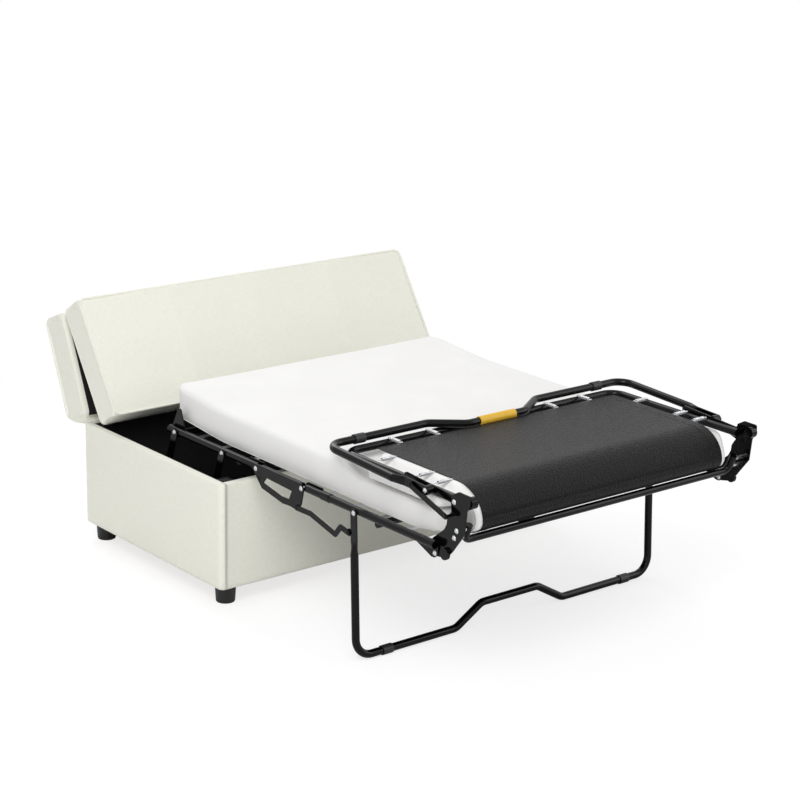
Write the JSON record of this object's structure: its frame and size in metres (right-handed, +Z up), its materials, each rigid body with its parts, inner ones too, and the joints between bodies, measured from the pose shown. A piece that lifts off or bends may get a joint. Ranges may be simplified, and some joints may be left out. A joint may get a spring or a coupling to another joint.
{
  "type": "storage sofa bed",
  "caption": "Upholstered storage box with a fold-back lid and a folding steel bed frame that carries a mattress over its front edge.",
  "frame": {"origin": "on the floor, under the middle of the object's overall box at rest", "axes": "+Z up; +Y towards the back of the box, where the lid is hinged; +X to the right as seen from the front"},
  "size_m": [1.188, 1.813, 0.7111],
  "materials": {
    "upholstery": "ivory fine-woven upholstery cloth",
    "plywood": "bare birch plywood",
    "lining_cloth": "black spun cloth",
    "feet_plastic": "black moulded feet",
    "zinc_steel": "zinc-plated steel",
    "black_steel": "gloss black powder-coated steel",
    "deck_cloth": "black pebbled woven deck cloth",
    "mattress_cloth": "white mattress cover",
    "glide_plastic": "black plastic glides",
    "sleeve_plastic": "plain yellow sleeve"
  },
  "bodies": {
    "box": {"box_floor": "plywood", "box_front_panel": "plywood", "box_back_panel": "plywood", "box_left_panel": "plywood", "box_right_panel": "plywood", "box_corner_posts": "plywood", "box_cover": "upholstery", "box_lining": "lining_cloth", "foot_front_left": "feet_plastic", "foot_front_right": "feet_plastic", "foot_back_left": "feet_plastic", "foot_back_right": "feet_plastic", "lid_hinge_box_leaves": "zinc_steel", "mount_bracket_left": "black_steel", "mount_bracket_right": "black_steel", "lift_links": "black_steel", "head_rail_left": "black_steel", "head_rail_right": "black_steel", "head_cross_tubes": "black_steel", "head_rivets": "zinc_steel", "head_deck": "deck_cloth", "head_springs": "zinc_steel", "mattress_head": "mattress_cloth"},
    "lid_back": {"lid_back_cushion": "upholstery", "lid_back_board": "lining_cloth", "lid_hinge_lid_leaves": "zinc_steel", "apex_hinge_back_leaves": "zinc_steel"},
    "lid_flap": {"lid_flap_cushion": "upholstery", "lid_flap_board": "lining_cloth", "apex_hinge_flap_leaves": "zinc_steel"},
    "fold_link": {"fold_link_left": "black_steel", "fold_link_right": "black_steel", "fold_link_deck": "deck_cloth", "mattress_bend": "mattress_cloth"},
    "mid_frame": {"mid_rail_left": "black_steel", "mid_rail_right": "black_steel", "mid_cross_tube": "black_steel", "mid_rivets": "zinc_steel", "mid_deck": "deck_cloth", "mid_springs": "zinc_steel", "mattress_mid": "mattress_cloth"},
    "front_leg": {"front_leg": "black_steel", "front_leg_glides": "glide_plastic"},
    "front_brace": {"front_brace_left": "black_steel", "front_brace_right": "black_steel"},
    "hinge_link": {"hinge_plate_left": "black_steel", "hinge_plate_right": "black_steel", "front_bar": "black_steel", "hinge_rivets": "zinc_steel", "fold_deck": "deck_cloth", "mattress_fold": "mattress_cloth"},
    "foot_frame": {"foot_frame": "black_steel", "foot_rivets": "zinc_steel", "foot_deck": "deck_cloth", "foot_springs": "zinc_steel", "mattress_foot": "mattress_cloth"},
    "foot_leg": {"foot_leg": "black_steel", "foot_leg_glides": "glide_plastic", "pull_sleeve": "sleeve_plastic"},
    "foot_brace": {"foot_braces": "black_steel"}
  },
  "joints": [
    {"name": "lid_hinge", "type": "hinge", "parent": "box", "child": "lid_back", "pos_m": [0, 0.68253, 0.355], "axis": [1, 0, 0], "range_deg": [0, 2.5]},
    {"name": "flap_hinge", "type": "hinge", "parent": "lid_back", "child": "lid_flap", "pos_m": [0, 0.81172, 0.66083], "axis": [-1, 0, 0], "range_deg": [0, 169]},
    {"name": "bed_fold", "type": "hinge", "parent": "box", "child": "fold_link", "pos_m": [0, -0.06947, 0.402], "axis": [-1, 0, 0], "range_deg": [0, 54], "deforming": ["mattress_bend"]},
    {"name": "mid_fold", "type": "hinge", "parent": "fold_link", "child": "mid_frame", "pos_m": [0, -0.27147, 0.402], "axis": [-1, 0, 0], "range_deg": [0, 54]},
    {"name": "front_leg_swing", "type": "hinge", "parent": "mid_frame", "child": "front_leg", "pos_m": [0, -0.49147, 0.398], "axis": [1, 0, 0], "range_deg": [0, 54]},
    {"name": "front_brace_swing", "type": "hinge", "parent": "front_leg", "child": "front_brace", "pos_m": [0, -0.47447, 0.342], "axis": [-1, 0, 0], "range_deg": [0, 54]},
    {"name": "foot_fold", "type": "hinge", "parent": "mid_frame", "child": "hinge_link", "pos_m": [0, -0.78087, 0.3747], "axis": [1, 0, 0], "range_deg": [0, 60], "deforming": ["mattress_fold", "fold_deck"]},
    {"name": "foot_turn", "type": "hinge", "parent": "hinge_link", "child": "foot_frame", "pos_m": [0, -0.84277, 0.5211], "axis": [1, 0, 0], "range_deg": [0, 120]},
    {"name": "foot_leg_swing", "type": "hinge", "parent": "foot_frame", "child": "foot_leg", "pos_m": [0, -0.75077, 0.5271], "axis": [1, 0, 0], "range_deg": [0, 76.8]},
    {"name": "foot_brace_swing", "type": "hinge", "parent": "foot_leg", "child": "foot_brace", "pos_m": [0, -0.70082, 0.52934], "axis": [1, 0, 0], "range_deg": [-76.1, 0]}
  ],
  "couplings": [
    {"joint": "mid_fold", "follows": "bed_fold", "ratio": 1},
    {"joint": "front_leg_swing", "follows": "bed_fold", "ratio": 1},
    {"joint": "front_brace_swing", "follows": "bed_fold", "ratio": 1},
    {"joint": "foot_turn", "follows": "foot_fold", "ratio": 2},
    {"joint": "foot_leg_swing", "follows": "foot_fold", "ratio": 1.2785},
    {"joint": "foot_brace_swing", "follows": "foot_fold", "ratio": -1.2668}
  ]
}
